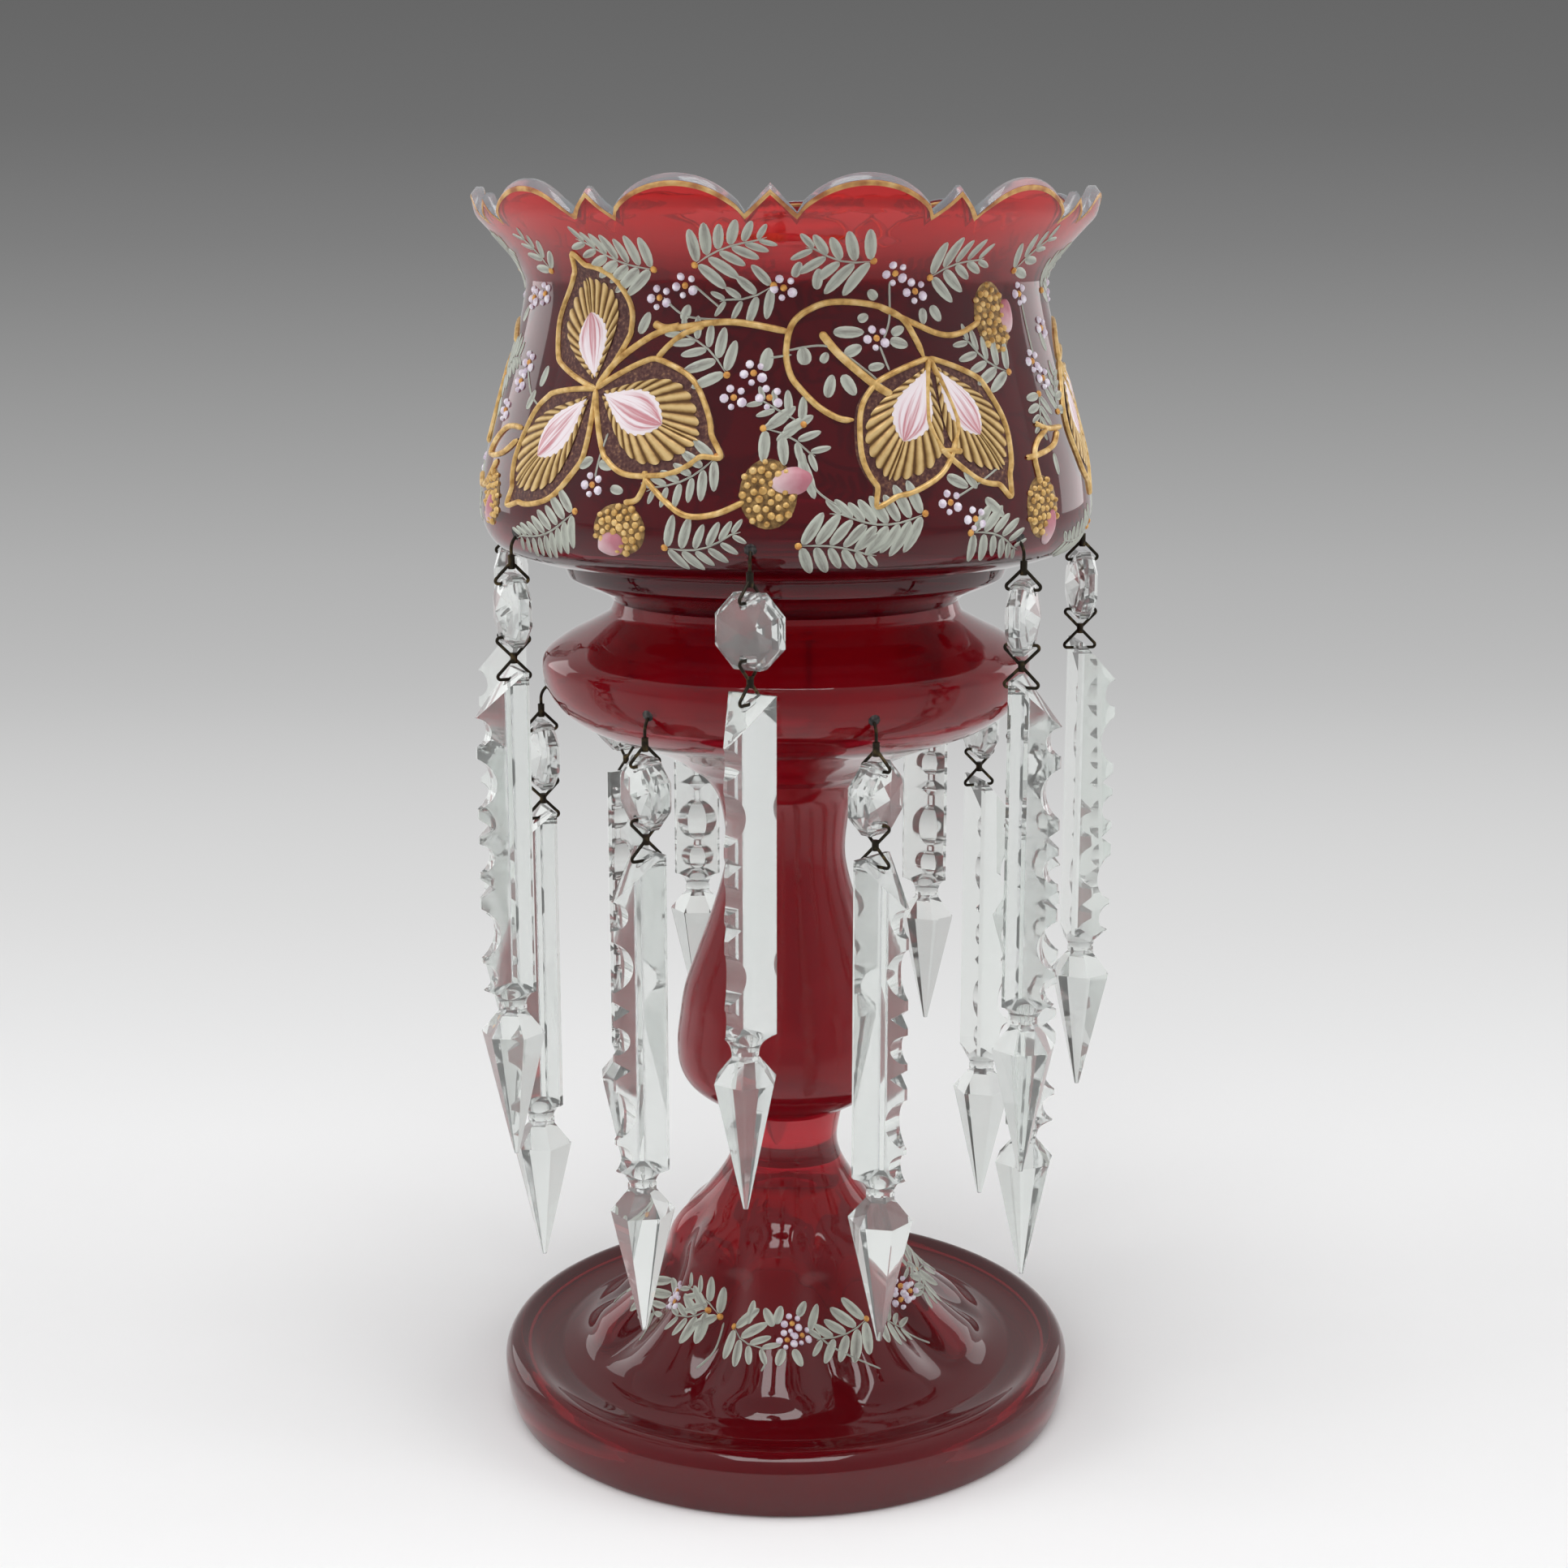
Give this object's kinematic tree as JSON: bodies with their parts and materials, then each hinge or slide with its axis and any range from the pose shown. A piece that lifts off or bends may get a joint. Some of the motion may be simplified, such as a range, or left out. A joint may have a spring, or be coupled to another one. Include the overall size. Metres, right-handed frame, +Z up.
{
  "type": "mantel lustre",
  "caption": "Mantel lustre: scalloped ruby glass bowl on a pan, baluster stem and fluted foot, with two rings of wired octagon beads and notched crystal prisms that swing freely.",
  "frame": {"origin": "on the axis of the glass, in the plane that the foot stands on", "axes": "+Z up along the axis; the pictured front faces -Y; +X is the right-hand side seen from the front"},
  "size_m": [0.192, 0.1918, 0.36],
  "materials": {
    "ruby_glass": "polished",
    "crystal": "cut and polished",
    "wire": "darkened with age"
  },
  "bodies": {
    "lustre": {"bowl": "ruby_glass", "pan": "ruby_glass", "stem": "ruby_glass", "foot": "ruby_glass"},
    "upper_hanger_1": {"upper_hanger_1": "wire"},
    "upper_bead_1": {"upper_bead_1": "crystal"},
    "upper_link_1": {"upper_link_1": "wire"},
    "upper_prism_1": {"upper_prism_1": "crystal"},
    "upper_hanger_2": {"upper_hanger_2": "wire"},
    "upper_bead_2": {"upper_bead_2": "crystal"},
    "upper_link_2": {"upper_link_2": "wire"},
    "upper_prism_2": {"upper_prism_2": "crystal"},
    "upper_hanger_3": {"upper_hanger_3": "wire"},
    "upper_bead_3": {"upper_bead_3": "crystal"},
    "upper_link_3": {"upper_link_3": "wire"},
    "upper_prism_3": {"upper_prism_3": "crystal"},
    "upper_hanger_4": {"upper_hanger_4": "wire"},
    "upper_bead_4": {"upper_bead_4": "crystal"},
    "upper_link_4": {"upper_link_4": "wire"},
    "upper_prism_4": {"upper_prism_4": "crystal"},
    "upper_hanger_5": {"upper_hanger_5": "wire"},
    "upper_bead_5": {"upper_bead_5": "crystal"},
    "upper_link_5": {"upper_link_5": "wire"},
    "upper_prism_5": {"upper_prism_5": "crystal"},
    "upper_hanger_6": {"upper_hanger_6": "wire"},
    "upper_bead_6": {"upper_bead_6": "crystal"},
    "upper_link_6": {"upper_link_6": "wire"},
    "upper_prism_6": {"upper_prism_6": "crystal"},
    "upper_hanger_7": {"upper_hanger_7": "wire"},
    "upper_bead_7": {"upper_bead_7": "crystal"},
    "upper_link_7": {"upper_link_7": "wire"},
    "upper_prism_7": {"upper_prism_7": "crystal"},
    "lower_hanger_1": {"lower_hanger_1": "wire"},
    "lower_bead_1": {"lower_bead_1": "crystal"},
    "lower_link_1": {"lower_link_1": "wire"},
    "lower_prism_1": {"lower_prism_1": "crystal"},
    "lower_hanger_2": {"lower_hanger_2": "wire"},
    "lower_bead_2": {"lower_bead_2": "crystal"},
    "lower_link_2": {"lower_link_2": "wire"},
    "lower_prism_2": {"lower_prism_2": "crystal"},
    "lower_hanger_3": {"lower_hanger_3": "wire"},
    "lower_bead_3": {"lower_bead_3": "crystal"},
    "lower_link_3": {"lower_link_3": "wire"},
    "lower_prism_3": {"lower_prism_3": "crystal"},
    "lower_hanger_4": {"lower_hanger_4": "wire"},
    "lower_bead_4": {"lower_bead_4": "crystal"},
    "lower_link_4": {"lower_link_4": "wire"},
    "lower_prism_4": {"lower_prism_4": "crystal"},
    "lower_hanger_5": {"lower_hanger_5": "wire"},
    "lower_bead_5": {"lower_bead_5": "crystal"},
    "lower_link_5": {"lower_link_5": "wire"},
    "lower_prism_5": {"lower_prism_5": "crystal"},
    "lower_hanger_6": {"lower_hanger_6": "wire"},
    "lower_bead_6": {"lower_bead_6": "crystal"},
    "lower_link_6": {"lower_link_6": "wire"},
    "lower_prism_6": {"lower_prism_6": "crystal"},
    "lower_hanger_7": {"lower_hanger_7": "wire"},
    "lower_bead_7": {"lower_bead_7": "crystal"},
    "lower_link_7": {"lower_link_7": "wire"},
    "lower_prism_7": {"lower_prism_7": "crystal"}
  },
  "joints": [
    {"name": "upper_hanger_1_swing", "type": "hinge", "parent": "lustre", "child": "upper_hanger_1", "pos_m": [-0.00869, -0.08264, 0.26403], "axis": [-0.9945, 0.1045, 0], "range_deg": [-3, 35]},
    {"name": "upper_bead_1_swing", "type": "hinge", "parent": "upper_hanger_1", "child": "upper_bead_1", "pos_m": [-0.00915, -0.08702, 0.2549], "axis": [-0.5592, -0.829, 0], "range_deg": [-12, 12]},
    {"name": "upper_link_1_swing", "type": "hinge", "parent": "upper_bead_1", "child": "upper_link_1", "pos_m": [-0.00915, -0.08702, 0.2403], "axis": [0.829, -0.5592, 0], "range_deg": [-5, 5]},
    {"name": "upper_prism_1_swing", "type": "hinge", "parent": "upper_link_1", "child": "upper_prism_1", "pos_m": [-0.00915, -0.08702, 0.22884], "axis": [-0.5592, -0.829, 0], "range_deg": [-12, 12]},
    {"name": "upper_hanger_2_swing", "type": "hinge", "parent": "lustre", "child": "upper_hanger_2", "pos_m": [0.0592, -0.05832, 0.26403], "axis": [-0.7018, -0.7124, 0], "range_deg": [-3, 35]},
    {"name": "upper_bead_2_swing", "type": "hinge", "parent": "upper_hanger_2", "child": "upper_bead_2", "pos_m": [0.06233, -0.06141, 0.2549], "axis": [0.9479, -0.3185, 0], "range_deg": [-12, 12]},
    {"name": "upper_link_2_swing", "type": "hinge", "parent": "upper_bead_2", "child": "upper_link_2", "pos_m": [0.06233, -0.06141, 0.2403], "axis": [0.3185, 0.9479, 0], "range_deg": [-5, 5]},
    {"name": "upper_prism_2_swing", "type": "hinge", "parent": "upper_link_2", "child": "upper_prism_2", "pos_m": [0.06233, -0.06141, 0.22884], "axis": [0.9479, -0.3185, 0], "range_deg": [-12, 12]},
    {"name": "upper_hanger_3_swing", "type": "hinge", "parent": "lustre", "child": "upper_hanger_3", "pos_m": [0.0825, 0.00992, 0.26403], "axis": [0.1194, -0.9928, 0], "range_deg": [-3, 35]},
    {"name": "upper_bead_3_swing", "type": "hinge", "parent": "upper_hanger_3", "child": "upper_bead_3", "pos_m": [0.08687, 0.01045, 0.2549], "axis": [0.9928, 0.1194, 0], "range_deg": [-12, 12]},
    {"name": "upper_link_3_swing", "type": "hinge", "parent": "upper_bead_3", "child": "upper_link_3", "pos_m": [0.08687, 0.01045, 0.2403], "axis": [-0.1194, 0.9928, 0], "range_deg": [-5, 5]},
    {"name": "upper_prism_3_swing", "type": "hinge", "parent": "upper_link_3", "child": "upper_prism_3", "pos_m": [0.08687, 0.01045, 0.22884], "axis": [0.9928, 0.1194, 0], "range_deg": [-12, 12]},
    {"name": "upper_hanger_4_swing", "type": "hinge", "parent": "lustre", "child": "upper_hanger_4", "pos_m": [0.04368, 0.07069, 0.26403], "axis": [0.8507, -0.5257, 0], "range_deg": [-3, 35]},
    {"name": "upper_bead_4_swing", "type": "hinge", "parent": "upper_hanger_4", "child": "upper_bead_4", "pos_m": [0.046, 0.07443, 0.2549], "axis": [0.3373, 0.9414, 0], "range_deg": [-12, 12]},
    {"name": "upper_link_4_swing", "type": "hinge", "parent": "upper_bead_4", "child": "upper_link_4", "pos_m": [0.046, 0.07443, 0.2403], "axis": [-0.9414, 0.3373, 0], "range_deg": [-5, 5]},
    {"name": "upper_prism_4_swing", "type": "hinge", "parent": "upper_link_4", "child": "upper_prism_4", "pos_m": [0.046, 0.07443, 0.22884], "axis": [0.3373, 0.9414, 0], "range_deg": [-12, 12]},
    {"name": "upper_hanger_5_swing", "type": "hinge", "parent": "lustre", "child": "upper_hanger_5", "pos_m": [-0.02803, 0.07823, 0.26403], "axis": [0.9414, 0.3373, 0], "range_deg": [-3, 35]},
    {"name": "upper_bead_5_swing", "type": "hinge", "parent": "upper_hanger_5", "child": "upper_bead_5", "pos_m": [-0.02951, 0.08237, 0.2549], "axis": [-0.0299, 0.9996, 0], "range_deg": [-12, 12]},
    {"name": "upper_link_5_swing", "type": "hinge", "parent": "upper_bead_5", "child": "upper_link_5", "pos_m": [-0.02951, 0.08237, 0.2403], "axis": [-0.9996, -0.0299, 0], "range_deg": [-5, 5]},
    {"name": "upper_prism_5_swing", "type": "hinge", "parent": "upper_link_5", "child": "upper_prism_5", "pos_m": [-0.02951, 0.08237, 0.22884], "axis": [-0.0299, 0.9996, 0], "range_deg": [-12, 12]},
    {"name": "upper_hanger_6_swing", "type": "hinge", "parent": "lustre", "child": "upper_hanger_6", "pos_m": [-0.07864, 0.02686, 0.26403], "axis": [0.3232, 0.9463, 0], "range_deg": [-3, 35]},
    {"name": "upper_bead_6_swing", "type": "hinge", "parent": "upper_hanger_6", "child": "upper_bead_6", "pos_m": [-0.0828, 0.02828, 0.2549], "axis": [-0.9821, 0.1884, 0], "range_deg": [-12, 12]},
    {"name": "upper_link_6_swing", "type": "hinge", "parent": "upper_bead_6", "child": "upper_link_6", "pos_m": [-0.0828, 0.02828, 0.2403], "axis": [-0.1884, -0.9821, 0], "range_deg": [-5, 5]},
    {"name": "upper_prism_6_swing", "type": "hinge", "parent": "upper_link_6", "child": "upper_prism_6", "pos_m": [-0.0828, 0.02828, 0.22884], "axis": [-0.9821, 0.1884, 0], "range_deg": [-12, 12]},
    {"name": "upper_hanger_7_swing", "type": "hinge", "parent": "lustre", "child": "upper_hanger_7", "pos_m": [-0.07003, -0.04473, 0.26403], "axis": [-0.5384, 0.8427, 0], "range_deg": [-3, 35]},
    {"name": "upper_bead_7_swing", "type": "hinge", "parent": "upper_hanger_7", "child": "upper_bead_7", "pos_m": [-0.07373, -0.0471, 0.2549], "axis": [-0.9094, -0.4158, 0], "range_deg": [-12, 12]},
    {"name": "upper_link_7_swing", "type": "hinge", "parent": "upper_bead_7", "child": "upper_link_7", "pos_m": [-0.07373, -0.0471, 0.2403], "axis": [0.4158, -0.9094, 0], "range_deg": [-5, 5]},
    {"name": "upper_prism_7_swing", "type": "hinge", "parent": "upper_link_7", "child": "upper_prism_7", "pos_m": [-0.07373, -0.0471, 0.22884], "axis": [-0.9094, -0.4158, 0], "range_deg": [-12, 12]},
    {"name": "lower_hanger_1_swing", "type": "hinge", "parent": "lustre", "child": "lower_hanger_1", "pos_m": [0.02232, -0.06304, 0.21668], "axis": [-0.9426, -0.3338, 0], "range_deg": [-6, 30]},
    {"name": "lower_bead_1_swing", "type": "hinge", "parent": "lower_hanger_1", "child": "lower_bead_1", "pos_m": [0.02379, -0.06719, 0.20755], "axis": [0.7604, -0.6494, 0], "range_deg": [-12, 12]},
    {"name": "lower_link_1_swing", "type": "hinge", "parent": "lower_bead_1", "child": "lower_link_1", "pos_m": [0.02379, -0.06719, 0.19295], "axis": [0.6494, 0.7604, 0], "range_deg": [-5, 5]},
    {"name": "lower_prism_1_swing", "type": "hinge", "parent": "lower_link_1", "child": "lower_prism_1", "pos_m": [0.02379, -0.06719, 0.18149], "axis": [0.7604, -0.6494, 0], "range_deg": [-12, 12]},
    {"name": "lower_hanger_2_swing", "type": "hinge", "parent": "lustre", "child": "lower_hanger_2", "pos_m": [0.06321, -0.02185, 0.21668], "axis": [-0.3267, -0.9451, 0], "range_deg": [-6, 30]},
    {"name": "lower_bead_2_swing", "type": "hinge", "parent": "lower_hanger_2", "child": "lower_bead_2", "pos_m": [0.06736, -0.02329, 0.20755], "axis": [0.9741, -0.2262, 0], "range_deg": [-12, 12]},
    {"name": "lower_link_2_swing", "type": "hinge", "parent": "lower_bead_2", "child": "lower_link_2", "pos_m": [0.06736, -0.02329, 0.19295], "axis": [0.2262, 0.9741, 0], "range_deg": [-5, 5]},
    {"name": "lower_prism_2_swing", "type": "hinge", "parent": "lower_link_2", "child": "lower_prism_2", "pos_m": [0.06736, -0.02329, 0.18149], "axis": [0.9741, -0.2262, 0], "range_deg": [-12, 12]},
    {"name": "lower_hanger_3_swing", "type": "hinge", "parent": "lustre", "child": "lower_hanger_3", "pos_m": [0.05649, 0.03579, 0.21668], "axis": [0.5352, -0.8447, 0], "range_deg": [-6, 30]},
    {"name": "lower_bead_3_swing", "type": "hinge", "parent": "lower_hanger_3", "child": "lower_bead_3", "pos_m": [0.06021, 0.03815, 0.20755], "axis": [0.9491, 0.3149, 0], "range_deg": [-12, 12]},
    {"name": "lower_link_3_swing", "type": "hinge", "parent": "lower_bead_3", "child": "lower_link_3", "pos_m": [0.06021, 0.03815, 0.19295], "axis": [-0.3149, 0.9491, 0], "range_deg": [-5, 5]},
    {"name": "lower_prism_3_swing", "type": "hinge", "parent": "lower_link_3", "child": "lower_prism_3", "pos_m": [0.06021, 0.03815, 0.18149], "axis": [0.9491, 0.3149, 0], "range_deg": [-12, 12]},
    {"name": "lower_hanger_4_swing", "type": "hinge", "parent": "lustre", "child": "lower_hanger_4", "pos_m": [0.00724, 0.06648, 0.21668], "axis": [0.9941, -0.1082, 0], "range_deg": [-6, 30]},
    {"name": "lower_bead_4_swing", "type": "hinge", "parent": "lower_hanger_4", "child": "lower_bead_4", "pos_m": [0.00772, 0.07086, 0.20755], "axis": [-0.2383, 0.9712, 0], "range_deg": [-12, 12]},
    {"name": "lower_link_4_swing", "type": "hinge", "parent": "lower_bead_4", "child": "lower_link_4", "pos_m": [0.00772, 0.07086, 0.19295], "axis": [-0.9712, -0.2383, 0], "range_deg": [-5, 5]},
    {"name": "lower_prism_4_swing", "type": "hinge", "parent": "lower_link_4", "child": "lower_prism_4", "pos_m": [0.00772, 0.07086, 0.18149], "axis": [-0.2383, 0.9712, 0], "range_deg": [-12, 12]},
    {"name": "lower_hanger_5_swing", "type": "hinge", "parent": "lustre", "child": "lower_hanger_5", "pos_m": [-0.04747, 0.04711, 0.21668], "axis": [0.7045, 0.7097, 0], "range_deg": [-6, 30]},
    {"name": "lower_bead_5_swing", "type": "hinge", "parent": "lower_hanger_5", "child": "lower_bead_5", "pos_m": [-0.05059, 0.05021, 0.20755], "axis": [-0.5766, 0.817, 0], "range_deg": [-12, 12]},
    {"name": "lower_link_5_swing", "type": "hinge", "parent": "lower_bead_5", "child": "lower_link_5", "pos_m": [-0.05059, 0.05021, 0.19295], "axis": [-0.817, -0.5766, 0], "range_deg": [-5, 5]},
    {"name": "lower_prism_5_swing", "type": "hinge", "parent": "lower_link_5", "child": "lower_prism_5", "pos_m": [-0.05059, 0.05021, 0.18149], "axis": [-0.5766, 0.817, 0], "range_deg": [-12, 12]},
    {"name": "lower_hanger_6_swing", "type": "hinge", "parent": "lustre", "child": "lower_hanger_6", "pos_m": [-0.06643, -0.00774, 0.21668], "axis": [-0.1157, 0.9933, 0], "range_deg": [-6, 30]},
    {"name": "lower_bead_6_swing", "type": "hinge", "parent": "lower_hanger_6", "child": "lower_bead_6", "pos_m": [-0.0708, -0.00825, 0.20755], "axis": [-0.9229, -0.385, 0], "range_deg": [-12, 12]},
    {"name": "lower_link_6_swing", "type": "hinge", "parent": "lower_bead_6", "child": "lower_link_6", "pos_m": [-0.0708, -0.00825, 0.19295], "axis": [0.385, -0.9229, 0], "range_deg": [-5, 5]},
    {"name": "lower_prism_6_swing", "type": "hinge", "parent": "lower_link_6", "child": "lower_prism_6", "pos_m": [-0.0708, -0.00825, 0.18149], "axis": [-0.9229, -0.385, 0], "range_deg": [-12, 12]},
    {"name": "lower_hanger_7_swing", "type": "hinge", "parent": "lustre", "child": "lower_hanger_7", "pos_m": [-0.03537, -0.05676, 0.21668], "axis": [-0.8487, 0.5289, 0], "range_deg": [-6, 30]},
    {"name": "lower_bead_7_swing", "type": "hinge", "parent": "lower_hanger_7", "child": "lower_bead_7", "pos_m": [-0.0377, -0.06049, 0.20755], "axis": [-0.8083, -0.5888, 0], "range_deg": [-12, 12]},
    {"name": "lower_link_7_swing", "type": "hinge", "parent": "lower_bead_7", "child": "lower_link_7", "pos_m": [-0.0377, -0.06049, 0.19295], "axis": [0.5888, -0.8083, 0], "range_deg": [-5, 5]},
    {"name": "lower_prism_7_swing", "type": "hinge", "parent": "lower_link_7", "child": "lower_prism_7", "pos_m": [-0.0377, -0.06049, 0.18149], "axis": [-0.8083, -0.5888, 0], "range_deg": [-12, 12]}
  ]
}
